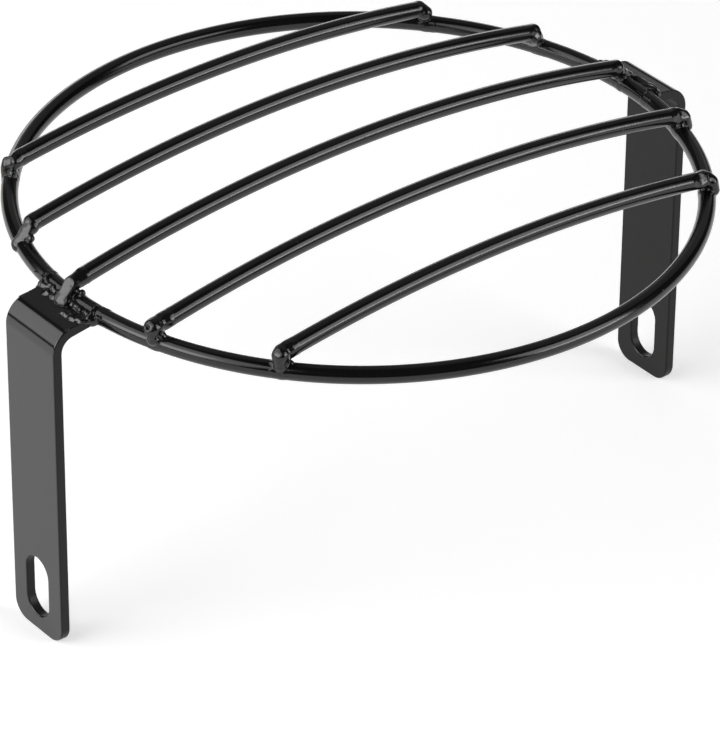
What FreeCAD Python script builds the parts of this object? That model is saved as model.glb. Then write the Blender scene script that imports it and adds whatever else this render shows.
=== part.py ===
"""Motorcycle headlight guard: a wire ring crossed by five arched bars, on two folded brackets.

X runs along the bars, Y across them and Z up, away from the headlight. The guard stands on
the ends of its bracket legs, and the origin is midway between them, at their foot.
All lengths are in millimetres.
"""
import FreeCAD, Part
import math
import os

# Ring
ring_outer_diameter = 160.0
ring_wire_diameter = 4.0

# Bars
bar_count = 5
bar_wire_diameter = 4.0
bar_pitch = 25.0
bar_arch_radius = 360.0
bar_end_setback = 1.8     # how far short of the ring's centreline a bar is cut
bar_seat_gap = 0.1        # kept between the ring and a bar that ran on over it

# Brackets
strap_width = 18.0
strap_thickness = 2.4
flange_reach = 10.0       # from the ring's outer side to the outer face of the leg
flange_tuck = 1.0         # how far the flange's end goes in under the ring's outer side
flange_rise = 0.5         # the flange's top face above the ring's middle
leg_height = 83.0         # from the foot to the flange's top face
bend_inner_radius = 3.4
foot_corner_radius = 4.5
slot_width = 8.2          # clears an 8 mm bolt
slot_length = 15.5
slot_centre_height = 11.7

# Welds
nugget_top_radius = 1.7
nugget_base_radius = 1.8
nugget_lobe_radius = 1.5
nugget_top_rise = 0.1     # centre of the top of the lump above the bar's axis
nugget_base_rise = 1.5    # centre of its base above the ring's middle
nugget_base_inset = 1.5   # centre of the base inside the ring's outer side
nugget_lobe_spread = 1.4  # centre of a lobe to either side of the ramp, along the ring
nugget_lobe_reach = 0.2   # centre of a lobe out from the ring's centreline
nugget_lobe_rise = 2.2    # centre of a lobe above the ring's middle
bead_radius = 1.5
bead_start = 1.0          # from the middle of the flange to the start of each half bead
bead_offset = 0.3         # centre of the bead beyond the ring's outer side
bead_rise = 0.2           # centre of the bead above the flange's top face
bead_end_radius = 1.9
bead_end_overrun = 0.4    # centre of the end lump beyond the flange's side
bead_end_drop = 0.8       # centre of the end lump below the flange's top face

# Worked out from the values above
wire_r = ring_wire_diameter / 2
bar_r = bar_wire_diameter / 2
ring_outer_r = ring_outer_diameter / 2
ring_r = ring_outer_r - wire_r
ring_z = leg_height - flange_rise
leg_outer_x = ring_outer_r + flange_reach
up = FreeCAD.Vector(0, 0, 1)
along_x = FreeCAD.Vector(1, 0, 0)
along_y = FreeCAD.Vector(0, 1, 0)


def bar_offset(number):
    """Y of a bar, bar 1 being the one furthest along +Y."""
    return ((bar_count + 1) / 2 - number) * bar_pitch


def foot_x(y):
    """X where the bar at this Y, if it ran on, would cross the ring's centreline."""
    return math.sqrt(ring_r**2 - y**2)


def seat_height(y):
    """Height of a bar's line over the ring's centreline where it would cross it.

    The bar slopes down there and the ring is level, and their axes are one
    wire's thickness apart square to both. The bar is cut just short of this
    place, and its weld fills the corner below its end.
    """
    slope = math.asin(foot_x(y) / bar_arch_radius)
    across = math.asin(y / ring_r)
    square = math.cos(slope) * math.cos(across)
    share = square / math.hypot(math.sin(slope), square)
    return (wire_r + bar_r + bar_seat_gap) / share


def arch_centre_z(y):
    """Z of the point that the bar at this Y is bent round."""
    drop = math.sqrt(bar_arch_radius**2 - foot_x(y)**2)
    return ring_z + seat_height(y) - drop


def bar_end(y):
    """Middle of the cut end of a bar, on the +X side."""
    x = foot_x(y) - bar_end_setback
    z = arch_centre_z(y) + math.sqrt(bar_arch_radius**2 - x**2)
    return FreeCAD.Vector(x, y, z)


def turned(centre, axis, radius_from_axis, tube_radius, start, sweep):
    """A wire of round section bent to an arc about an axis through centre."""
    direction = FreeCAD.Vector(start).normalize()
    middle = centre + direction * radius_from_axis
    tangent = axis.cross(direction)
    section = Part.Face(Part.Wire(Part.Circle(middle, tangent, tube_radius).toShape()))
    return section.revolve(centre, axis, sweep)


def make_ring():
    return Part.makeTorus(ring_r, wire_r, FreeCAD.Vector(0, 0, ring_z), up)


def make_bar(y):
    centre = FreeCAD.Vector(0, y, arch_centre_z(y))
    end = bar_end(y)
    half_angle = math.degrees(math.asin(end.x / bar_arch_radius))
    return turned(centre, along_y, bar_arch_radius, bar_r, end - centre, -2 * half_angle)


def strap_profile():
    """Outline of the folded strap seen along Y, on the +X side."""
    inner_x = leg_outer_x - strap_thickness
    top = leg_height
    bend_outer_radius = bend_inner_radius + strap_thickness
    bend_x = leg_outer_x - bend_outer_radius
    bend_z = top - bend_outer_radius
    end_x = ring_outer_r - flange_tuck
    half = math.sqrt(0.5)

    def at(x, z):
        return FreeCAD.Vector(x, -strap_width / 2, z)

    def bend(radius, first, last):
        middle = at(bend_x + radius * half, bend_z + radius * half)
        return Part.Arc(first, middle, last).toShape()

    outer = [at(end_x, top), at(bend_x, top), at(leg_outer_x, bend_z), at(leg_outer_x, 0)]
    inner = [at(inner_x, 0), at(inner_x, bend_z), at(bend_x, top - strap_thickness),
             at(end_x, top - strap_thickness)]
    edges = [
        Part.makeLine(outer[0], outer[1]),
        bend(bend_outer_radius, outer[1], outer[2]),
        Part.makeLine(outer[2], outer[3]),
        Part.makeLine(outer[3], inner[0]),
        Part.makeLine(inner[0], inner[1]),
        bend(bend_inner_radius, inner[1], inner[2]),
        Part.makeLine(inner[2], inner[3]),
        Part.makeLine(inner[3], outer[0]),
    ]
    return Part.Wire(edges)


def slot_cutter():
    """Upright slot with round ends, long enough in X to go right through the leg."""
    reach = 3 * strap_thickness
    start_x = leg_outer_x - 2 * strap_thickness
    radius = slot_width / 2
    half_straight = (slot_length - slot_width) / 2
    middle = Part.makeBox(
        reach, slot_width, 2 * half_straight,
        FreeCAD.Vector(start_x, -radius, slot_centre_height - half_straight))
    ends = [
        Part.makeCylinder(radius, reach,
                          FreeCAD.Vector(start_x, 0, slot_centre_height + shift),
                          along_x)
        for shift in (-half_straight, half_straight)
    ]
    return middle.fuse(ends).removeSplitter()


def make_bracket(ring):
    """The +X bracket, its flange's end shaped to the ring that it is welded to."""
    strap = Part.Face(strap_profile()).extrude(along_y * strap_width)
    foot_corners = [
        edge for edge in strap.Edges
        if all(abs(vertex.Z) < 1e-6 for vertex in edge.Vertexes)
        and abs(edge.Vertexes[0].Y - edge.Vertexes[1].Y) < 1e-6
    ]
    strap = strap.makeFillet(foot_corner_radius, foot_corners)
    return strap.cut([slot_cutter(), ring]).removeSplitter()


def tapered_drop(first, first_radius, last, last_radius):
    """Two balls of different size with the cone that touches both."""
    gap = last - first
    span = gap.Length
    direction = FreeCAD.Vector(gap).normalize()
    lean = (first_radius - last_radius) / span
    shrink = math.sqrt(1 - lean**2)
    start = first + direction * (first_radius * lean)
    length = span + (last_radius - first_radius) * lean
    cone = Part.makeCone(first_radius * shrink, last_radius * shrink, length, start, direction)
    balls = [
        Part.makeSphere(first_radius, first, direction),
        Part.makeSphere(last_radius, last, direction),
    ]
    return cone.fuse(balls).removeSplitter()


def make_nugget(y, neighbours):
    """The weld at a bar's +X end: a ramp from the bar's cut end down onto the top of the ring.

    A lobe on either side of the ramp fills the corner between bar and ring.
    """
    top = bar_end(y) + up * nugget_top_rise
    outward = FreeCAD.Vector(foot_x(y), y, 0).normalize()
    base = outward * (ring_outer_r - nugget_base_inset) + up * (ring_z + nugget_base_rise)
    ramp = tapered_drop(top, nugget_top_radius, base, nugget_base_radius)
    between = outward * (ring_r + nugget_lobe_reach) + up * (ring_z + nugget_lobe_rise)
    sideways = up.cross(outward)
    lobes = [
        Part.makeSphere(nugget_lobe_radius, between + sideways * shift, sideways)
        for shift in (-nugget_lobe_spread, nugget_lobe_spread)
    ]
    return ramp.fuse(lobes).cut(neighbours)


def make_bead(half, neighbours):
    """The bead in the corner between ring and +X flange, on one half of the flange.

    It starts beside the middle of the flange and ends in a lump at its corner.
    """
    centre = up * (leg_height + bead_rise)
    path_r = ring_outer_r + bead_offset
    first = math.asin(bead_start / path_r)
    last = math.asin((strap_width / 2 + bead_end_overrun) / path_r)
    start = FreeCAD.Vector(math.cos(first), half * math.sin(first), 0)
    bead = turned(centre, up, path_r, bead_radius, start, half * math.degrees(last - first))
    end = FreeCAD.Vector(
        path_r * math.cos(last),
        half * path_r * math.sin(last),
        leg_height - bead_end_drop)
    lump = Part.makeSphere(bead_end_radius, end, along_y)
    return bead.fuse(lump).cut(neighbours)


def make_right_side(ring, bars):
    """The bracket and welds on the +X side, by name."""
    bracket = make_bracket(ring)
    side = {"bracket": bracket}
    for number, bar in enumerate(bars, start=1):
        side[f"weld_bar_{number}"] = make_nugget(bar_offset(number), [ring, bar, bracket])
    solids = [ring] + bars + list(side.values())
    side["weld_bracket_far"] = make_bead(1, solids)
    side["weld_bracket_near"] = make_bead(-1, solids)
    return side


def make_parts():
    ring = make_ring()
    numbers = range(1, bar_count + 1)
    bars = [make_bar(bar_offset(number)) for number in numbers]
    parts = {"ring": ring}
    for number, bar in zip(numbers, bars):
        parts[f"bar_{number}"] = bar
    for name, shape in make_right_side(ring, bars).items():
        parts[f"{name}_right"] = shape
        parts[f"{name}_left"] = shape.mirror(FreeCAD.Vector(0, 0, 0), along_x)
    return parts


os.makedirs("parts", exist_ok=True)
for name, shape in make_parts().items():
    box = shape.BoundBox
    print(f"{name:22s} solids {len(shape.Solids)} valid {shape.isValid()} volume {shape.Volume:8.1f} mm3"
          f"  x {box.XMin:7.2f} {box.XMax:7.2f}  y {box.YMin:7.2f} {box.YMax:7.2f}"
          f"  z {box.ZMin:6.2f} {box.ZMax:6.2f}")
    shape.exportStep(f"parts/{name}.step")
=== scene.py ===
# %% [markdown]
# # A motorcycle headlight guard, from bare frame to finished picture
#
# The guard is a ring of black wire crossed by five arched bars, held by two folded strap
# brackets and welded up by hand. The measured solids come from the frame. This lesson gives
# them what a camera sees: rolled sheet edges, rippled welds and gloss black paint.
# Everything is in metres: X runs along the bars, Y across them, Z up, and the guard stands
# on the ends of its two legs.

# %% Load the frame
import math
import bmesh
import bpy
import numpy as np
from mathutils import Euler, Matrix, Vector, noise


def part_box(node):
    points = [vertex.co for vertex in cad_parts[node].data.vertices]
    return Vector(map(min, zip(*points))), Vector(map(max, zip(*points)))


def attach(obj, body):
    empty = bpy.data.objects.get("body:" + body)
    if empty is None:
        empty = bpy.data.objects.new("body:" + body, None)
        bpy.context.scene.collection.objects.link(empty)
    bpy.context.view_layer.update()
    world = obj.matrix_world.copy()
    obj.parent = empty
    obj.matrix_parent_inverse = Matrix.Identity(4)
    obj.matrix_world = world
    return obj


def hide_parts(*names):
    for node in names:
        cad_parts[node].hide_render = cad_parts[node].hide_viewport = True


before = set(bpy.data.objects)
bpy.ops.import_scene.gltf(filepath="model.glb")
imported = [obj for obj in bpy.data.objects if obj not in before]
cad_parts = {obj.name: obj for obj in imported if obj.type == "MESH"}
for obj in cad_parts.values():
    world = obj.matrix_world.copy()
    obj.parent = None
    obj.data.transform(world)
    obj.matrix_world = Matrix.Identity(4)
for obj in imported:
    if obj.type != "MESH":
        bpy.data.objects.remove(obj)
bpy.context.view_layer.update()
MM = 0.001
# Without a seed of its own, noise_vector takes one from the clock.
NOISE_SEED = 3
noise.seed_set(NOISE_SEED)
print("nodes in the frame:", len(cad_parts))

# %% [markdown]
# ## The sizes that the pieces share
#
# The wires are round and evenly thick, so a few radii describe them all. The places of the
# ring and the legs are read off the frame's own boxes, so that each piece lands on its solid.

# %% Read the shared sizes off the frame
ring_low, ring_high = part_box("ring")
RING_Z = (ring_low.z + ring_high.z) / 2
WIRE_R = 2 * MM
RING_OUTER = 80 * MM
RING_R = RING_OUTER - WIRE_R
BAR_R = 2 * MM
BAR_ARCH = 360 * MM
STRAP_WIDTH = 18 * MM
STRAP_THICK = 2.4 * MM
LEG_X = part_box("bracket_right")[1].x
FLANGE_Z = RING_Z + 0.5 * MM
BAR_Y = {n: (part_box(f"bar_{n}")[0].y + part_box(f"bar_{n}")[1].y) / 2 for n in range(1, 6)}
SIDES = {"left": -1, "right": 1}
print("ring middle", round(RING_Z / MM, 2), "mm, wire radius", round(WIRE_R / MM, 2), "mm")

# %% Find the line of each bar


def bar_axis(number):
    """Crown of a bar's axis, and the axis point at its +X end, in metres."""
    low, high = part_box(f"bar_{number}")
    crown_z = high.z - BAR_R
    # The cut end leans with the arch, so its top corner sets the box's reach in X.
    end_x = high.x / (1 + BAR_R / BAR_ARCH)
    end_z = crown_z - BAR_ARCH + math.sqrt(BAR_ARCH**2 - end_x**2)
    return crown_z, Vector((end_x, BAR_Y[number], end_z))


for number in BAR_Y:
    crown, end = bar_axis(number)
    print(f"bar {number}: y {BAR_Y[number] / MM:.1f}, crown {crown / MM:.2f}, "
          f"end x {end.x / MM:.2f} z {end.z / MM:.2f}")

# %% [markdown]
# ## A small language for materials
#
# A material is a graph of nodes. Wiring sums by hand hides what they say, so one class wraps
# a socket and turns Python's own signs into Math nodes. `node` makes every other node: it
# takes the type, the settings and then the values or links of its sockets.

# %% Wrap sockets so that materials read as sums


class Value:
    """A node's output that can be added and multiplied, also with a number before it."""

    def __init__(self, graph, socket):
        self.graph = graph
        self.socket = socket

    def __add__(self, other):
        return self.graph.math("ADD", self, other)

    def __mul__(self, other):
        return self.graph.math("MULTIPLY", self, other)

    __radd__ = __add__
    __rmul__ = __mul__


class Graph:
    """The node tree of one material, emptied and ready to build."""

    def __init__(self, name):
        self.material = bpy.data.materials.new(name)
        self.material.use_nodes = True
        self.tree = self.material.node_tree
        self.tree.nodes.clear()

    def node(self, kind, settings=None, sockets=None):
        """A new node: settings first, then its sockets' values or links."""
        made = self.tree.nodes.new(kind)
        for key, value in (settings or {}).items():
            if key == "stops":
                self.set_stops(made.color_ramp, value)
            else:
                setattr(made, key, value)
        for key, value in (sockets or {}).items():
            self.feed(made.inputs[key], value)
        return made

    def set_stops(self, ramp, stops):
        """Gives a ramp of greys its stops, each a place and a shade."""
        while len(ramp.elements) < len(stops):
            ramp.elements.new(0.5)
        for element, (place, shade) in zip(ramp.elements, stops):
            element.position = place
            element.color = (shade, shade, shade, 1)

    def feed(self, socket, value):
        """Links a Value to a socket, or sets a number or a colour on it."""
        if isinstance(value, Value):
            self.tree.links.new(value.socket, socket)
        elif isinstance(value, tuple) and len(value) == 3 and len(socket.default_value) == 4:
            socket.default_value = (*value, 1)
        else:
            socket.default_value = value

    def out(self, made, name=0):
        return Value(self, made.outputs[name])

    def math(self, operation, first, second):
        return self.out(self.node("ShaderNodeMath", {"operation": operation},
                                  {0: first, 1: second}))

    def ramp(self, value, stops):
        return self.out(self.node("ShaderNodeValToRGB", {"stops": stops}, {"Fac": value}))

    def noise(self, position, per_mm, detail=2.0):
        """Soft noise with about per_mm lumps to the millimetre."""
        return self.out(self.node("ShaderNodeTexNoise", None, {
            "Vector": position, "Scale": per_mm / MM, "Detail": detail}))

    def mix(self, factor, first, second):
        """A colour between two colours."""
        return self.out(self.node("ShaderNodeMix", {"data_type": "RGBA"},
                                  {0: factor, 6: first, 7: second}), 2)

    def place(self):
        return self.out(self.node("ShaderNodeTexCoord"), "Object")

    def bump(self, height, depth_mm):
        return self.out(self.node("ShaderNodeBump", None, {
            "Height": height, "Distance": depth_mm * MM}))

    def finish(self, shader):
        """Ends the graph in its output and gives back the material."""
        self.node("ShaderNodeOutputMaterial", None, {"Surface": shader})
        print("material", self.material.name, "has", len(self.tree.nodes), "nodes")
        return self.material


# %% [markdown]
# ## Gloss black paint
#
# The steel is dipped or sprayed in gloss black. Such paint isn't one flat black: it levels
# into a faint orange peel, it is a little duller where dust settled while it dried, and tiny
# nibs of dirt stand in it. Reflections make most of the picture, so the base colour stays
# very dark and the roughness and the bump carry the detail.

# %% Set the paint's patterns
# How many lumps of each pattern come to a millimetre.
CLOUDS_PER_MM = 0.05
PEEL_PER_MM = 0.35
GRAIN_PER_MM = 2.5
NIBS_PER_MM = 0.22
# How a nib fades from its middle, and the dust that colours it.
NIB_STOPS = [(0.0, 1.0), (0.035, 0.8), (0.06, 0.0)]
DUST = (0.05, 0.048, 0.045)
print("one nib of dirt to every", round(1 / NIBS_PER_MM, 1), "mm")

# %% Mix the paint


def black_paint(name, shade, gloss, peel_mm, ior):
    """Black paint: shade is its grey, gloss its roughness, peel_mm the orange peel's depth."""
    g = Graph(name)
    position = g.place()
    clouds = g.noise(position, CLOUDS_PER_MM, 3.0)
    peel = g.noise(position, PEEL_PER_MM, 1.0)
    grain = g.noise(position, GRAIN_PER_MM)
    nib = g.out(g.node("ShaderNodeTexVoronoi", {"feature": "F1"},
                       {"Vector": position, "Scale": NIBS_PER_MM / MM}), "Distance")
    nibs = g.ramp(nib, NIB_STOPS)
    # The paler clouds are a touch warm, as thin black paint is.
    colour = g.mix(clouds, (shade * 0.75,) * 3, (shade * 1.3, shade * 1.25, shade * 1.2))
    dusty = g.mix(nibs * 0.5, colour, DUST)
    roughness = gloss + clouds * 0.06 + grain * 0.04 + nibs * 0.2
    height = peel + grain * 0.08 + nibs * 0.9
    shader = g.node("ShaderNodeBsdfPrincipled", None, {
        "Base Color": dusty,
        "Roughness": roughness,
        "IOR": ior,
        "Normal": g.bump(height, peel_mm),
    })
    return g.finish(g.out(shader))


wire_paint = black_paint("wire_paint", 0.005, 0.11, 0.010, 1.5)
strap_paint = black_paint("strap_paint", 0.006, 0.08, 0.008, 1.6)
# Painted shade: a dimmer, duller copy of the paint for the straps' inner faces, sheared sides and
# slot.
shaded_paint = black_paint("shaded_paint", 0.010, 0.34, 0.014, 1.3)
bead_paint = black_paint("bead_paint", 0.006, 0.12, 0.030, 1.5)

# %% [markdown]
# ## Round wire, bent
#
# The ring and the bars are round wire, so each is one circle carried along a line. The
# frame's own wires have a few broad facets, which gloss paint would show as stripes. A finer
# sweep with the same radius takes their place, and the frame's solids stay behind it.

# %% Carry a circle along a line
WIRE_SIDES = 56


def add_object(name, mesh):
    """Puts a mesh in the scene as an object of the same name."""
    piece = bpy.data.objects.new(name, mesh)
    bpy.context.scene.collection.objects.link(piece)
    return piece


def shade_smooth(mesh):
    mesh.polygons.foreach_set("use_smooth", [True] * len(mesh.polygons))


def sweep(name, centres, outward, upward, radius, closed):
    """A round wire through centres. outward and upward span its section at each centre."""
    turns = [2 * math.pi * k / WIRE_SIDES for k in range(WIRE_SIDES)]
    vertices = [c + (o * math.cos(t) + u * math.sin(t)) * radius
                for c, o, u in zip(centres, outward, upward) for t in turns]
    rows = len(centres)
    faces = []
    for row in range(rows if closed else rows - 1):
        here = row * WIRE_SIDES
        there = (row + 1) % rows * WIRE_SIDES
        for k in range(WIRE_SIDES):
            m = (k + 1) % WIRE_SIDES
            faces.append((here + k, there + k, there + m, here + m))
    if not closed:
        faces.append(tuple(range(WIRE_SIDES)))
        faces.append(tuple(range((rows - 1) * WIRE_SIDES, rows * WIRE_SIDES))[::-1])
    mesh = bpy.data.meshes.new(name)
    mesh.from_pydata([tuple(v) for v in vertices], [], faces)
    mesh.update()
    wire = add_object(name, mesh)
    shade_smooth(mesh)
    mesh.materials.append(wire_paint)
    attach(wire, "root")
    return wire


print("a side of the wire is", round(2 * math.pi * WIRE_R / WIRE_SIDES / MM, 2), "mm wide")

# %% Bend the ring
RING_STEPS = 360
angles = [2 * math.pi * k / RING_STEPS for k in range(RING_STEPS)]
radial = [Vector((math.cos(a), math.sin(a), 0)) for a in angles]
hoop = sweep("hoop", [r * RING_R + Vector((0, 0, RING_Z)) for r in radial], radial,
             [Vector((0, 0, 1))] * RING_STEPS, WIRE_R, True)
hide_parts("ring")
print("ring made of", len(hoop.data.polygons), "faces")

# %% [markdown]
# ### Five bars of one arch
#
# The bars were all bent on one former, so they share a radius and differ in length alone. A
# cutter leaves a sharp end and a touch of the grinder rounds it, so the last few circles of
# each sweep are set closer together and drawn in.

# %% Read and write a mesh's points


def read_points(mesh):
    points = np.empty(len(mesh.vertices) * 3)
    mesh.vertices.foreach_get("co", points)
    return points.reshape(-1, 3)


def read_normals(mesh):
    normals = np.empty(len(mesh.vertices) * 3)
    mesh.vertex_normals.foreach_get("vector", normals)
    return normals.reshape(-1, 3)


def write_points(mesh, points):
    mesh.vertices.foreach_set("co", points.ravel())
    mesh.update()


print("the ring has", len(read_points(hoop.data)), "points")

# %% Bend the five bars
BAR_STEPS = 240
END_ROUND = 0.6 * MM
END_STEPS = 6


def bar_leans(reach):
    """The angles at which a bar's circles stand, closer together in its rounded ends."""
    leans = [-reach + 2 * reach * k / BAR_STEPS for k in range(BAR_STEPS + 1)]
    for k in range(1, END_STEPS):
        turn = k * math.pi / (2 * END_STEPS)
        step = reach - END_ROUND * (1 - math.cos(turn)) / BAR_ARCH
        leans += [-step, step]
    return sorted(leans)


def arched_bar(number):
    """A bar bent to its arch, its two cut ends rounded over as by a grinder."""
    crown_z, end = bar_axis(number)
    middle = Vector((0, end.y, crown_z - BAR_ARCH))
    reach = math.asin(end.x / BAR_ARCH)
    leans = bar_leans(reach)
    spokes = [Vector((math.sin(lean), 0, math.cos(lean))) for lean in leans]
    bar = sweep(f"arched_bar_{number}", [middle + s * BAR_ARCH for s in spokes], spokes,
                [Vector((0, -1, 0))] * len(spokes), BAR_R, False)
    points = read_points(bar.data)
    for row, lean in enumerate(leans):
        left = (reach - abs(lean)) * BAR_ARCH
        if left < END_ROUND:
            shrink = END_ROUND - math.sqrt(END_ROUND**2 - (END_ROUND - left)**2)
            centre = np.array(middle + spokes[row] * BAR_ARCH)
            circle = slice(row * WIRE_SIDES, (row + 1) * WIRE_SIDES)
            points[circle] = centre + (points[circle] - centre) * (1 - shrink / BAR_R)
    write_points(bar.data, points)
    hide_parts(f"bar_{number}")
    return bar


bars = {number: arched_bar(number) for number in BAR_Y}
print("bars made:", len(bars))

# %% [markdown]
# ## The folded brackets
#
# Each bracket is a strap of sheet folded once. Sheared sheet has edges that paint rounds
# over, and that thin rounded line is what catches the light. The strap is drawn as a side
# outline, pushed across its width, given its round foot corners and its slot, and then every
# sharp edge is rolled with a small bevel. The frame's flange is level. A hand-made fold is a
# little short of square, so here the flange falls by a few degrees from the ring to it.

# %% Draw the strap's outline
BEND_INNER = 3.4 * MM
BEND_STEPS = 28
FLANGE_END_X = RING_OUTER - 1 * MM
FLANGE_TILT = math.radians(9)


def flange_top(x):
    """Height of the flange's top, which falls a little from the ring to the fold."""
    return FLANGE_Z - max(abs(x) - FLANGE_END_X, 0) * math.tan(FLANGE_TILT)


def strap_outline():
    """Points of the strap's side outline as (x, z), on the +X side."""
    bend_outer = BEND_INNER + STRAP_THICK
    cx = LEG_X - bend_outer
    cz = flange_top(cx) - bend_outer / math.cos(FLANGE_TILT)
    start = math.pi / 2 - FLANGE_TILT

    def arc(radius, first, last):
        steps = [first + (last - first) * k / BEND_STEPS for k in range(BEND_STEPS + 1)]
        return [(cx + radius * math.cos(a), cz + radius * math.sin(a)) for a in steps]

    under_z = FLANGE_Z - STRAP_THICK / math.cos(FLANGE_TILT)
    return ([(FLANGE_END_X, FLANGE_Z)] + arc(bend_outer, start, 0)
            + [(LEG_X, 0.0), (LEG_X - STRAP_THICK, 0.0)]
            + arc(BEND_INNER, 0, start) + [(FLANGE_END_X, under_z)])


print("points in the outline:", len(strap_outline()))

# %% Make the punch for the slots
SLOT_WIDTH = 8.2 * MM
SLOT_LENGTH = 15.5 * MM
SLOT_Z = 11.7 * MM
SLOT_SIDES = 64


def slot_punch():
    """A tall round-ended block that is taken out of the leg."""
    radius = SLOT_WIDTH / 2
    half = (SLOT_LENGTH - SLOT_WIDTH) / 2
    rim = []
    for k in range(SLOT_SIDES):
        a = 2 * math.pi * (k + 0.5) / SLOT_SIDES
        rise = half if math.sin(a) > 0 else -half
        rim.append((radius * math.cos(a), SLOT_Z + rise + radius * math.sin(a)))
    x0, x1 = LEG_X - 3 * STRAP_THICK, LEG_X + STRAP_THICK
    vertices = [(x, y, z) for x in (x0, x1) for y, z in rim]
    faces = [tuple(range(SLOT_SIDES))[::-1], tuple(range(SLOT_SIDES, 2 * SLOT_SIDES))]
    for k in range(SLOT_SIDES):
        m = (k + 1) % SLOT_SIDES
        faces.append((k, m, SLOT_SIDES + m, SLOT_SIDES + k))
    mesh = bpy.data.meshes.new("slot_punch")
    mesh.from_pydata(vertices, [], faces)
    return add_object("slot_punch", mesh)


print("slot", round(SLOT_WIDTH / MM, 1), "by", round(SLOT_LENGTH / MM, 1), "mm")

# %% Fold the straps
FOOT_ROUND = 4.5 * MM
FOOT_STEPS = 16
EDGE_ROLL = 0.38 * MM
EDGE_STEPS = 4
SHARP = math.radians(40)
LEVEL_ERROR = 1e-6


def keep_result(piece):
    """Replaces a piece's mesh with what its modifiers make of it."""
    shaped = bpy.data.meshes.new_from_object(
        piece.evaluated_get(bpy.context.evaluated_depsgraph_get()))
    piece.modifiers.clear()
    piece.data = shaped


def strap_block(name):
    """The outline pushed across the strap's width, with round foot corners."""
    bm = bmesh.new()
    near = [bm.verts.new((x, -STRAP_WIDTH / 2, z)) for x, z in strap_outline()]
    face = bm.faces.new(near)
    pushed = bmesh.ops.extrude_face_region(bm, geom=[face])["geom"]
    bmesh.ops.translate(bm, vec=(0, STRAP_WIDTH, 0),
                        verts=[g for g in pushed if isinstance(g, bmesh.types.BMVert)])
    bmesh.ops.recalc_face_normals(bm, faces=bm.faces)
    feet = [e for e in bm.edges
            if all(v.co.z < LEVEL_ERROR for v in e.verts)
            and abs(e.verts[0].co.y - e.verts[1].co.y) < LEVEL_ERROR]
    bmesh.ops.bevel(bm, geom=feet, offset=FOOT_ROUND, segments=FOOT_STEPS, profile=0.5,
                    affect="EDGES")
    mesh = bpy.data.meshes.new(name)
    bm.to_mesh(mesh)
    bm.free()
    return add_object(name, mesh)


def cut_and_roll(strap):
    """Punches the slot and rolls every sharp edge."""
    punch = slot_punch()
    cut = strap.modifiers.new("slot", "BOOLEAN")
    cut.operation = "DIFFERENCE"
    cut.solver = "EXACT"
    cut.object = punch
    roll = strap.modifiers.new("rolled edges", "BEVEL")
    roll.width = EDGE_ROLL
    roll.segments = EDGE_STEPS
    roll.limit_method = "ANGLE"
    roll.angle_limit = SHARP
    roll.harden_normals = True
    shade_smooth(strap.data)
    keep_result(strap)
    bpy.data.objects.remove(punch)


def paint_strap(strap, side):
    """Gloss outside. Painted shade: the inside, the sheared sides and the slot take a dimmer,
    duller copy.
    """
    strap.data.materials.clear()
    strap.data.materials.append(strap_paint)
    strap.data.materials.append(shaded_paint)
    for face in strap.data.polygons:
        inside = face.normal.x * SIDES[side] + face.normal.z < -0.5
        sheared = abs(face.normal.y) > 0.75
        in_slot = abs(face.normal.x) < 0.3 and face.center.z < 30 * MM
        face.material_index = int(inside or sheared or in_slot)


def folded_strap(side):
    """One bracket. The left one is the right one turned by half a turn."""
    strap = strap_block(f"strap_{side}")
    cut_and_roll(strap)
    if SIDES[side] < 0:
        strap.data.transform(Matrix.Rotation(math.pi, 4, "Z"))
    paint_strap(strap, side)
    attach(strap, "root")
    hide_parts(f"bracket_{side}")
    return strap


straps = {side: folded_strap(side) for side in SIDES}
print("strap faces:", {side: len(s.data.polygons) for side, s in straps.items()})

# %% [markdown]
# ## Welds
#
# A weld is a drop of steel that froze while it ran into both pieces, so it has no sharp
# foot: it swells out of the wires. Each weld is built from a few balls and tapered rods,
# fused by a fine voxel remesh and smoothed until the corners between them fill like liquid.
# The rods that lie on the wires sink under the paint at their ends, so no seam shows.

# %% Balls and rods
BALL_DETAIL = 3
ROD_SIDES = 28


def add_ball(bm, centre, radius, stretch=(1, 1, 1)):
    place = Matrix.Translation(centre) @ Matrix.Diagonal((*stretch, 1))
    bmesh.ops.create_icosphere(bm, subdivisions=BALL_DETAIL, radius=radius, matrix=place)


def add_rod(bm, first, last, first_radius, last_radius, balls=True):
    """A tapered rod, with round ends unless balls is off."""
    run = last - first
    turn = Vector((0, 0, 1)).rotation_difference(run).to_matrix().to_4x4()
    place = Matrix.Translation((first + last) / 2) @ turn
    bmesh.ops.create_cone(bm, cap_ends=True, segments=ROD_SIDES, radius1=first_radius,
                          radius2=last_radius, depth=run.length, matrix=place)
    if balls:
        add_ball(bm, first, first_radius)
        add_ball(bm, last, last_radius)


print("a rod has", ROD_SIDES, "sides")

# %% [markdown]
# ### Marks on a drop
#
# A grinder leaves a flat, gas leaves a pit, and the freezing skin ripples. All three only
# move the points of a finished mesh, so they are sums on arrays of points. A flat has a
# place, the way it faces, its level above that place, its reach, and the force from 0 to 1
# that says how much of the metal beyond the level it takes.

# %% Flats, pits and ripples
# How far the noise is shifted along X, Y and Z from one seed to the next.
SEED_SHIFT = (7.1, 3.3, 1.7)


def press_flats(points, flats):
    """Flattens what stands further than level from each flat's place in the way it faces."""
    for centre, facing, level, reach, force in flats:
        facing = np.array(Vector(facing).normalized())
        away = points - np.array(centre)
        # Full force up to half the reach, and none beyond it.
        near = np.clip(2 - 2 * np.linalg.norm(away, axis=1) / reach, 0, 1)
        over = np.clip(away @ facing - level, 0, None) * near
        points -= over[:, None] * facing * force


def press_pits(points, normals, pits):
    """Sinks a round pit at each place, by radius and depth."""
    for centre, radius, depth in pits:
        far = np.linalg.norm(points - np.array(centre), axis=1) / radius
        points -= normals * (np.clip(1 - far**2, 0, None)**2 * depth)[:, None]


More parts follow.
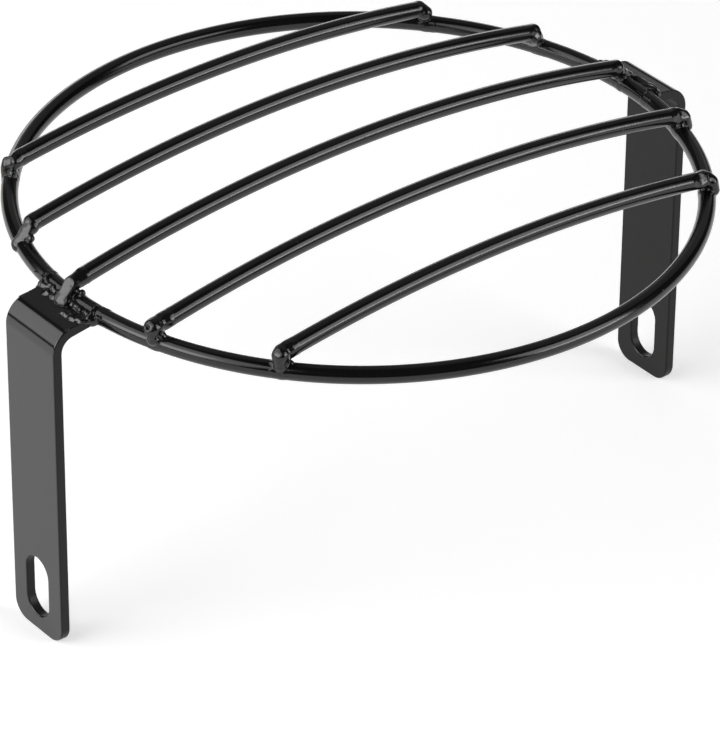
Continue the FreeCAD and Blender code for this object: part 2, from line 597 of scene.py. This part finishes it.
def ripple(mesh, depth, size, seed):
    """Pushes a mesh's points in and out along their normals by soft noise."""
    shift = Vector([seed * step for step in SEED_SHIFT])
    points = read_points(mesh)
    lifts = np.array([noise.noise(Vector(p) / size + shift) for p in points]) * depth
    write_points(mesh, points + read_normals(mesh) * lifts[:, None])


print("marks: flats, pits and ripples")

# %% Fuse balls and rods into one drop
VOXEL = 0.15 * MM


def frozen_drop(name, bm, node, finish, seed, flats, pits=()):
    """What is in bm as one skin, pressed, pitted, smoothed, rippled and painted.

    finish gives the rounds of smoothing, and the ripples' depth and size in millimetres.
    """
    mesh = bpy.data.meshes.new(name)
    bm.to_mesh(mesh)
    bm.free()
    piece = add_object(name, mesh)
    remesh = piece.modifiers.new("one skin", "REMESH")
    remesh.mode = "VOXEL"
    remesh.voxel_size = VOXEL
    keep_result(piece)
    points = read_points(piece.data)
    normals = read_normals(piece.data)
    press_flats(points, flats)
    press_pits(points, normals, pits)
    write_points(piece.data, points)
    smooth = piece.modifiers.new("liquid corners", "SMOOTH")
    smooth.factor = 0.5
    smooth.iterations = finish["smoothing"]
    keep_result(piece)
    ripple(piece.data, finish["depth"] * MM, finish["size"] * MM, seed)
    shade_smooth(piece.data)
    piece.data.materials.clear()
    piece.data.materials.append(bead_paint)
    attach(piece, "root")
    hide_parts(node)
    return piece


print("voxel", round(VOXEL / MM, 2), "mm")

# %% [markdown]
# ### Ten bar ends, no two alike
#
# A hand-held torch leaves each end different. Some drops ran down as a flat tongue, some
# stopped as a button on the bar's cut end, and some were dressed with a grinder. A place is
# given in millimetres out from the ring's middle line, aside along the ring, and above it.
# Each plan holds the run of the metal and the lobes beside it, both as a place and a radius
# there, then the flats, and the pits with their place, radius and depth.

# %% Plan the left bar welds
TO_LEFT = (-0.82, -0.28, 0.50)
LEFT_PLANS = {
    1: {"run": [(-0.9, 0, 4.4, 1.8), (0.6, 0.1, 4.4, 1.3), (1.0, -0.1, 3.3, 1.2),
                (0.7, -0.2, 0.9, 1.4)],
        "lobes": [(-0.6, -1.5, 2.4, 1.1), (-0.3, 1.2, 2.0, 1.2)],
        "flats": [((-0.2, 0, 4.0), TO_LEFT, 1.0, 3.4, 0.6)]},
    2: {"run": [(-2.0, 0, 4.2, 1.8), (-1.1, 0, 3.6, 1.65), (0.0, -0.1, 1.8, 1.6),
                (0.9, -0.1, 0.3, 1.85)],
        "lobes": [(-1.2, -2.0, 2.5, 0.95), (-0.3, 1.3, 1.9, 1.1)],
        "flats": [((-1.1, 0, 3.6), TO_LEFT, 1.05, 3.0, 0.65),
                  ((0.2, -0.1, 1.4), TO_LEFT, 1.2, 4.4, 0.65)]},
    3: {"run": [(-0.7, 0, 4.2, 1.8), (0.5, 0, 4.0, 1.75), (1.7, 0, 2.3, 1.65),
                (2.5, 0.2, 0.3, 2.3)],
        "lobes": [(-0.5, -2.3, 2.3, 0.9), (-0.2, 1.3, 2.0, 1.2)],
        "flats": [((0.5, 0, 4.0), TO_LEFT, 1.1, 3.2, 0.65),
                  ((1.9, 0.1, 1.7), TO_LEFT, 1.15, 5.6, 0.7)],
        "pits": [((0.1, -1.6, 3.0), 1.0, 0.35)]},
    4: {"run": [(-0.5, 0, 4.3, 2.0), (1.5, 0.1, 4.2, 2.1), (1.6, 0, 1.4, 1.5)],
        "lobes": [(0.2, -1.2, 1.9, 1.1), (0.1, 1.2, 1.8, 1.0)],
        "flats": [((1.5, 0.1, 4.2), TO_LEFT, 1.5, 3.2, 0.6)],
        "pits": [((3.2, 0.6, 5.0), 0.85, 0.7), ((2.0, -1.5, 2.6), 0.9, 0.7)]},
    5: {"run": [(-0.3, 0, 4.1, 2.0), (0.5, 0, 4.0, 2.05), (0.7, 0, 1.8, 1.6)],
        "lobes": [(-0.3, -1.9, 1.6, 0.95), (0.3, 1.9, 1.4, 0.9)],
        "flats": [((0.5, 0, 4.0), TO_LEFT, 1.35, 2.9, 0.8)],
        "pits": [((1.4, -1.8, 2.7), 0.8, 0.4)]},
}
print("plans for", len(LEFT_PLANS), "left ends")

# %% Plan the right bar welds
TO_FRONT = (-0.05, -0.86, 0.51)
RIGHT_PLANS = {
    1: {"run": [(-2.4, 0, 4.1, 1.75), (-1.4, 0, 3.0, 1.1), (-0.1, 0.2, 2.0, 0.8)],
        "lobes": [(-1.2, -0.2, 2.2, 0.8), (-1.0, 0.9, 2.1, 0.9)],
        "flats": [((-2.2, 0, 4.2), TO_FRONT, 1.45, 1.8, 0.8)]},
    2: {"run": [(-2.5, 0, 4.0, 1.8), (-1.0, 0.1, 3.0, 1.3), (0.4, 0.3, 1.9, 0.9)],
        "lobes": [(-1.0, -0.4, 2.2, 0.9), (-0.8, 1.1, 2.1, 1.0)],
        "flats": [((-2.0, 0, 3.8), TO_FRONT, 1.2, 3.4, 0.7)],
        "pits": [((-1.6, -1.6, 4.0), 0.7, 0.25)]},
    3: {"run": [(-2.4, 0, 3.9, 1.85), (-0.9, 0.1, 3.0, 1.5), (1.6, 0.3, 1.2, 1.4)],
        "lobes": [(-0.5, -0.5, 2.1, 1.0), (-0.2, 1.5, 2.0, 1.3)],
        "flats": [((-2.7, 0, 4.6), TO_FRONT, 1.4, 2.8, 0.9)]},
    4: {"run": [(-1.2, 0, 4.3, 1.9), (0.5, 0.1, 3.5, 1.8), (1.3, 0, 1.3, 1.5)],
        "lobes": [(-0.3, -0.8, 2.0, 1.0), (-0.2, 1.4, 2.0, 1.2)],
        "flats": [((-0.9, -0.3, 4.2), TO_FRONT, 1.25, 3.8, 0.8)],
        "pits": [((0.3, -1.5, 3.2), 0.6, 0.25)]},
    5: {"run": [(-1.2, 0, 4.2, 1.9), (0.7, 0.1, 3.3, 1.7), (1.4, 0, 1.2, 1.4)],
        "lobes": [(-0.3, -0.8, 1.9, 1.0), (-0.2, 1.4, 2.0, 1.2)],
        "flats": [((-2.1, -1.7, 4.6), TO_FRONT, 1.4, 3.6, 0.9)]},
}
print("plans for", len(RIGHT_PLANS), "right ends")

# %% Weld the bar ends
END_FINISH = {"smoothing": 9, "depth": 0.10, "size": 1.3}
# All in millimetres: where the bar's sleeve starts and stops, how far the ring's sleeves
# reach, and how far a sleeve stands out of a wire and sinks into it.
BAR_SLEEVE = (4.0, 0.8)
RING_SLEEVE = 4.2
BAR_STAND = 0.08
RING_STAND = 0.12
SINK = 0.12


def end_axes(number, side):
    """A bar's cut end, the way in along the bar, and the ring's middle line below the end."""
    sign = SIDES[side]
    _, end = bar_axis(number)
    end = Vector((sign * end.x, end.y, end.z))
    slope = math.asin(abs(end.x) / BAR_ARCH)
    inward = Vector((-sign * math.cos(slope), 0, math.sin(slope)))
    seat = Vector((sign * math.sqrt(RING_R**2 - end.y**2), end.y, 0))
    outward = seat.normalized()
    along = Vector((-outward.y, outward.x, 0)) * sign
    seat.z = RING_Z
    return end, inward, seat, outward, along


def bar_weld(number, side):
    """The weld at one end of a bar, after its plan."""
    plan = {"left": LEFT_PLANS, "right": RIGHT_PLANS}[side][number]
    end, inward, seat, outward, along = end_axes(number, side)

    def at(out, aside, rise):
        return seat + (outward * out + along * aside) * MM + Vector((0, 0, rise * MM))

    bm = bmesh.new()
    # A sleeve on the bar and two on the ring, which sink into the wires.
    sleeve_start, sleeve_stop = (end + inward * along_bar * MM for along_bar in BAR_SLEEVE)
    sleeve_r = BAR_R + BAR_STAND * MM
    add_rod(bm, sleeve_start, sleeve_stop, BAR_R - SINK * MM, sleeve_r, balls=False)
    for way in (-1, 1):
        stop = outward * RING_R + along * way * RING_SLEEVE * MM
        stop = stop.normalized() * RING_R + Vector((0, 0, RING_Z))
        add_rod(bm, seat, stop, WIRE_R + RING_STAND * MM, WIRE_R - SINK * MM, balls=False)
    for out, aside, rise, radius in plan["lobes"]:
        add_ball(bm, at(out, aside, rise), radius * MM)
    drops = [(at(out, aside, rise), radius * MM) for out, aside, rise, radius in plan["run"]]
    for (first, first_radius), (last, last_radius) in zip([(sleeve_stop, sleeve_r)] + drops,
                                                          drops):
        add_rod(bm, first, last, first_radius, last_radius)
    flats = [(at(*place), facing, level * MM, reach * MM, force)
             for place, facing, level, reach, force in plan["flats"]]
    pits = [(at(*place), radius * MM, depth * MM)
            for place, radius, depth in plan.get("pits", [])]
    # The grinder or the torch flattened the wire's end together with the weld.
    wire = bars[number].data
    wire_points = read_points(wire)
    press_flats(wire_points, flats)
    write_points(wire, wire_points)
    return frozen_drop(f"end_weld_{number}_{side}", bm, f"weld_bar_{number}_{side}",
                       END_FINISH, number + 10 * SIDES[side], flats, pits)


end_welds = [bar_weld(number, side) for side in SIDES for number in BAR_Y]
print("end welds:", len(end_welds), "with", sum(len(w.data.polygons) for w in end_welds), "faces")

# %% [markdown]
# ### The bracket beads
#
# The bead between ring and flange was laid as separate dabs, in two halves beside the bar's
# weld. Each dab froze as a scale that leans on the one before. On the left the torch moved
# fast and left rough metal, spatter and a burr. On the right it stayed longer, and the metal
# levelled into a ramp.

# %% Plan the bracket beads
HALVES = {"far": 1, "near": -1}
# Each dab, in millimetres: from the flange's middle, beyond the ring, radius, half length.
DABS = {
    ("left", "far"): [(2.9, 1.7, 0.9, 1.5), (5.7, 1.9, 1.0, 1.6), (7.9, 0.8, 0.7, 1.1)],
    ("left", "near"): [(3.8, 3.5, 0.75, 1.15), (6.2, 3.6, 0.85, 1.45), (8.0, 2.9, 0.7, 1.1)],
    ("right", "far"): [(3.2, 0.9, 1.3, 2.5), (6.6, 1.0, 1.15, 2.3)],
    ("right", "near"): [(2.9, 1.5, 1.25, 2.5), (5.8, 1.9, 1.2, 2.4), (7.9, 1.2, 1.0, 1.8)],
}
# swell is a dab's height over its radius, rough the disorder of the metal round it, and ramp
# lists ridges by place beyond the ring, height over the flange and radius.
BEAD_FINISH = {
    "left": {"swell": 0.8, "rough": 1.0, "specks": 18, "ramp": [],
             "smoothing": 4, "depth": 0.12, "size": 1.2},
    "right": {"swell": 0.6, "rough": 0.3, "specks": 0,
              "ramp": [(0.4, 0.3, 1.3), (1.8, -0.25, 1.0)],
              "smoothing": 24, "depth": 0.10, "size": 2.6},
}


def on_flange(sign, y, out, rise):
    """A place in millimetres along Y, out beyond the ring's side and above the flange."""
    x = math.sqrt((RING_OUTER + out * MM)**2 - (y * MM)**2)
    return Vector((sign * x, y * MM, flange_top(x) + rise * MM))


def wander(steps, k, way, sign):
    """A random arrow for the kth ball of a half bead, the same on each run."""
    return noise.noise_vector(Vector((k * steps[0], steps[1] * way, steps[2] * sign)))


print("dabs planned:", sum(len(dabs) for dabs in DABS.values()))

# %% Lay the dabs and the metal between them
DAB_RISE = 0.2
DAB_FLAT = {"level": 0.55, "reach": 3.2, "force": 0.85}
RAMP_SPAN = (1.6, 8.2)
ROUGH_BALLS = 10
ROUGH_STEPS = (1.93, 3.7, 1.1)


def lay_dabs(bm, side, half):
    """The dabs and ridges of a half bead. Gives back the flat on each dab."""
    sign, way, finish = SIDES[side], HALVES[half], BEAD_FINISH[side]
    flats = []
    for y, out, radius, long in DABS[side, half]:
        dab = on_flange(sign, way * y, out, DAB_RISE)
        add_ball(bm, dab, radius * MM, (0.9, long / radius, finish["swell"]))
        flats.append((dab, TO_LEFT, DAB_FLAT["level"] * radius * MM, DAB_FLAT["reach"] * MM,
                      DAB_FLAT["force"]))
    for out, rise, radius in finish["ramp"]:
        first, last = (on_flange(sign, way * y, out, rise) for y in RAMP_SPAN)
        add_rod(bm, first, last, radius * MM, 0.9 * radius * MM)
    return flats


def add_rough_metal(bm, sign, way, rough):
    """Metal that fills the corner beside the ring and thins out over the flange."""
    for k in range(ROUGH_BALLS):
        arrow = wander(ROUGH_STEPS, k, way, sign) * rough
        y = way * (1.2 + 0.84 * k)
        corner = on_flange(sign, y, -0.3 + 0.5 * arrow.x, -0.1 + 0.3 * arrow.y)
        add_ball(bm, corner, (1.05 + 0.3 * arrow.z) * MM)
        thin = on_flange(sign, y, 1.5 + 1.5 * arrow.y, -0.45)
        add_ball(bm, thin, (0.75 + 0.3 * arrow.x) * MM, (1.3, 1.0, 0.8))


print("rough balls in a half bead:", 2 * ROUGH_BALLS)

# %% End the bead at the flange's corner
SPATTER_STEPS = (1.37, 4.1, 2.3)
BURR_STEPS = (2.71, 1.9, 5.3)
SPATTER_MARGIN = 0.6 * MM
BAR_WELD_HALF = 1 * MM
FLANGE_SLEEVE = (9.0, 14.5)
SLEEVE_SINK = 0.14


def add_climb(bm, sign, way):
    """The last dab, which climbs from the flange's corner over the ring."""
    add_rod(bm, on_flange(sign, way * 8.9, 0.9, 0.0), on_flange(sign, way * 8.4, -1.4, 1.3),
            0.75 * MM, 0.65 * MM)
    add_ball(bm, on_flange(sign, way * 8.9, 0.0, -0.9), 1.5 * MM)


def add_splashes(bm, sign, way, count):
    """Drops that ran out along the ring, each smaller than the last."""
    for k in range(count):
        splash = Vector((noise.noise(Vector((k * 3.1, way, sign))),
                         noise.noise(Vector((way, k * 2.3, sign))), 0)) * 1.6
        place = on_flange(sign, way * (9.3 + 0.9 * k) + splash.x, -0.6 + splash.y, 0.35)
        add_ball(bm, place, (0.55 - 0.06 * k) * MM)


def add_spatter(bm, sign, way, count):
    """Fine spatter on the flange beside the bead, clear of its sides and the bar's weld."""
    for k in range(count):
        arrow = wander(SPATTER_STEPS, k, way, sign)
        speck = on_flange(sign, way * (4.6 + 7.0 * arrow.x), 3.4 + 4.0 * arrow.y, -0.05)
        if BAR_WELD_HALF < abs(speck.y) < STRAP_WIDTH / 2 - SPATTER_MARGIN:
            add_ball(bm, speck, (0.24 + 0.1 * arrow.z) * MM)


def add_burr(bm, sign, way, count):
    """A rough burr along the flange's edge."""
    for k in range(count):
        arrow = wander(BURR_STEPS, k, way, sign)
        burr = on_flange(sign, way * 8.62, 1.6 + 0.6 * k + 0.3 * arrow.x, -0.16)
        add_ball(bm, burr, (0.36 + 0.1 * arrow.y) * MM, (1.7 + arrow.z, 0.9, 0.9))


print("spatter tried on the left:", BEAD_FINISH["left"]["specks"], "specks a half")

# %% Lay the half beads


def half_bead(side, half):
    """One half of the bead in the corner between the ring and a bracket's flange."""
    sign, way, finish = SIDES[side], HALVES[half], BEAD_FINISH[side]
    bm = bmesh.new()
    flats = lay_dabs(bm, side, half)
    add_rough_metal(bm, sign, way, finish["rough"])
    add_climb(bm, sign, way)
    add_splashes(bm, sign, way, finish["specks"] // 3)
    add_spatter(bm, sign, way, finish["specks"])
    add_burr(bm, sign, way, finish["specks"] // 2)
    # A sleeve on the ring beyond the flange, sinking into it.
    first, last = (on_flange(sign, way * y, -WIRE_R / MM, -0.5) for y in FLANGE_SLEEVE)
    add_rod(bm, first, last, WIRE_R + RING_STAND * MM, WIRE_R - SLEEVE_SINK * MM, balls=False)
    return frozen_drop(f"bead_{half}_{side}", bm, f"weld_bracket_{half}_{side}", finish,
                       30 + way + 5 * sign, flats)


half_beads = [half_bead(side, half) for side in SIDES for half in HALVES]
print("half beads:", len(half_beads), "with", sum(len(b.data.polygons) for b in half_beads),
      "faces")

# %% [markdown]
# ## The floor
#
# The guard stands on a plain white card. Its white comes from its own colour and from a
# little glow that shows to the camera and in reflections alone, so the card keeps the soft
# shadow and throws no extra light on the underside.

# %% Lay the floor
FLOOR_HALF = 3.0
FLOOR_GLOW = 0.50
MOTTLE_PER_MM = 0.002
CARD_DARK = (0.79, 0.79, 0.79)
CARD_PALE = (0.81, 0.81, 0.81)


def floor_material():
    """A white card that looks as bright as the lamps make it, plus a little glow of its own."""
    g = Graph("white_floor")
    path = g.node("ShaderNodeLightPath")
    seen = g.math("MAXIMUM", g.out(path, "Is Camera Ray"), g.out(path, "Is Glossy Ray"))
    seen = g.math("MAXIMUM", seen, g.out(path, "Is Transmission Ray"))
    mottle = g.noise(g.place(), MOTTLE_PER_MM, 1.0)
    shader = g.node("ShaderNodeBsdfPrincipled", None, {
        "Base Color": g.mix(mottle, CARD_DARK, CARD_PALE),
        "Roughness": 0.9,
        "Specular IOR Level": 0.1,
        "Emission Color": g.mix(seen, (0, 0, 0), (FLOOR_GLOW,) * 3),
        "Emission Strength": 1.0,
    })
    return g.finish(g.out(shader))


floor_mesh = bpy.data.meshes.new("floor")
floor_mesh.from_pydata([(-FLOOR_HALF, -FLOOR_HALF, 0), (FLOOR_HALF, -FLOOR_HALF, 0),
                        (FLOOR_HALF, FLOOR_HALF, 0), (-FLOOR_HALF, FLOOR_HALF, 0)],
                       [], [(0, 1, 2, 3)])
floor_mesh.materials.append(floor_material())
floor = add_object("floor", floor_mesh)
print("floor", 2 * FLOOR_HALF, "m across")

# %% [markdown]
# ## The lamps
#
# Black gloss paint is drawn by what it mirrors, so the lamps are large soft panels in a dim
# room: their edges become the long streaks on the wires. Two on the left show in the near
# strap's face. A broad one and a thin bright one at the front right draw the streaks on the
# bars, and weaker ones behind and above keep the dark sides from going flat.

# %% Hang the lamps
ROOM_GREY = (0.02, 0.02, 0.02, 1)
AIM = Vector((0, 0, 60 * MM))
# Bearing from +Y towards +X and height in degrees, distance in metres, width and height in
# degrees as the guard sees them, and brightness, where 1 looks white.
PANELS = {
    "panel_left": (-70, 31.5, 1.2, 76, 50, 1.9),
    "panel_left_core": (-80, 20, 1.1, 34, 24, 3.4),
    "panel_right": (148, 25, 1.6, 36, 42, 2.8),
    "panel_streak": (148, 16, 1.4, 30, 4, 10.0),
    "panel_back": (28, 8, 1.8, 38, 11, 2.6),
    "panel_haze": (45, 19, 1.9, 50, 10, 0.45),
    "panel_top": (48, 52, 1.5, 66, 56, 0.17),
}


def soft_panel(name, turn, rise, far, across, height, radiance):
    """A flat soft lamp that faces the guard."""
    lamp = bpy.data.lights.new(name, "AREA")
    lamp.shape = "RECTANGLE"
    lamp.size = 2 * far * math.tan(math.radians(across / 2))
    lamp.size_y = 2 * far * math.tan(math.radians(height / 2))
    lamp.energy = radiance * math.pi * lamp.size * lamp.size_y
    a, e = math.radians(turn), math.radians(rise)
    away = Vector((math.sin(a) * math.cos(e), math.cos(a) * math.cos(e), math.sin(e)))
    panel = add_object(name, lamp)
    panel.location = AIM + away * far
    panel.rotation_euler = away.to_track_quat("Z", "Y").to_euler()
    panel.visible_camera = False


world = bpy.data.worlds.new("dim_room")
bpy.context.scene.world = world
world.use_nodes = True
room = world.node_tree.nodes["Background"]
room.inputs["Color"].default_value = ROOM_GREY
room.inputs["Strength"].default_value = 1.0
for name, settings in PANELS.items():
    soft_panel(name, *settings)
print("lamps:", len(PANELS))

# %% [markdown]
# ## The camera
#
# The photograph was taken from far off with a long lens, which keeps the two legs nearly the
# same size. The camera was fitted to the edges of the ring, the bars and the legs.

# %% Set up the camera
CAMERA_PLACE = (-0.598615, -0.756628, 0.652132)
CAMERA_TURN = (57.3361, -0.4254, -38.1201)
camera_data = bpy.data.cameras.new("camera")
camera_data.sensor_width = 36.0
camera_data.lens = 242.9
camera_data.clip_start = 0.05
camera = add_object("camera", camera_data)
camera.location = CAMERA_PLACE
camera.rotation_euler = Euler([math.radians(a) for a in CAMERA_TURN], "XYZ")
bpy.context.scene.camera = camera
bpy.context.scene.view_settings.view_transform = "Standard"
print("camera", round(camera.location.length, 3), "m from the origin")
